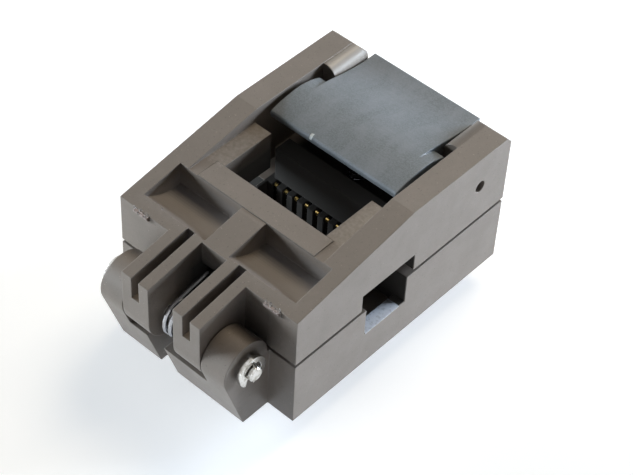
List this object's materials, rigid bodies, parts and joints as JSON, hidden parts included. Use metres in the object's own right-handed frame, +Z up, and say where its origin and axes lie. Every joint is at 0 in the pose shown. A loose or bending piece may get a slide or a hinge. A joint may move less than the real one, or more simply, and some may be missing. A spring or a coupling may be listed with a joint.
{
  "type": "zif socket",
  "caption": "Clamshell test socket for a small-outline chip: sprung hinged lid with viewing window, pusher bars and a pivoting snap latch over a base with staggered solder tails.",
  "frame": {"origin": "centre of the tail pattern on the seat plane, where the base's bottom meets the board, below the middle of the package nest", "axes": "+X across the socket along the contact rows, +Y from the hinge to the latch, +Z up out of the board"},
  "size_m": [0.021, 0.0343, 0.0183],
  "materials": {
    "housing": "satin moulded, taupe brown-grey",
    "latch_plastic": "satin moulded, slate grey with cloudy flow marks",
    "nickel_steel": "bright nickel-plated steel",
    "steel_wire": "bright drawn stainless steel",
    "gold_plate": "gold-plated spring sheet"
  },
  "bodies": {
    "base": {"base_body": "housing", "contact_retainer": "housing", "front_contact_1": "gold_plate", "front_contact_2": "gold_plate", "front_contact_3": "gold_plate", "front_contact_4": "gold_plate", "front_contact_5": "gold_plate", "front_contact_6": "gold_plate", "front_contact_7": "gold_plate", "front_contact_8": "gold_plate", "front_contact_9": "gold_plate", "front_contact_10": "gold_plate", "rear_contact_1": "gold_plate", "rear_contact_2": "gold_plate", "rear_contact_3": "gold_plate", "rear_contact_4": "gold_plate", "rear_contact_5": "gold_plate", "rear_contact_6": "gold_plate", "rear_contact_7": "gold_plate", "rear_contact_8": "gold_plate", "rear_contact_9": "gold_plate", "rear_contact_10": "gold_plate", "hinge_shaft": "nickel_steel", "hinge_spring": "steel_wire", "retaining_ring_left": "nickel_steel", "retaining_ring_right": "nickel_steel"},
    "lid_body": {"lid": "housing", "latch_pin": "steel_wire", "latch_spring": "steel_wire"},
    "latch_body": {"latch": "latch_plastic"}
  },
  "joints": [
    {"name": "lid_hinge", "type": "hinge", "parent": "base", "child": "lid_body", "pos_m": [0, -0.01466, 0.00735], "axis": [1, 0, 0], "range_deg": [0, 90], "deforming": ["hinge_spring"]},
    {"name": "latch_pivot", "type": "hinge", "parent": "lid_body", "child": "latch_body", "pos_m": [0, 0.01215, 0.01175], "axis": [1, 0, 0], "range_deg": [0, 12], "stiffness_Nm_per_rad": 0.005, "springref_deg": -11.46, "deforming": ["latch_spring"]}
  ]
}
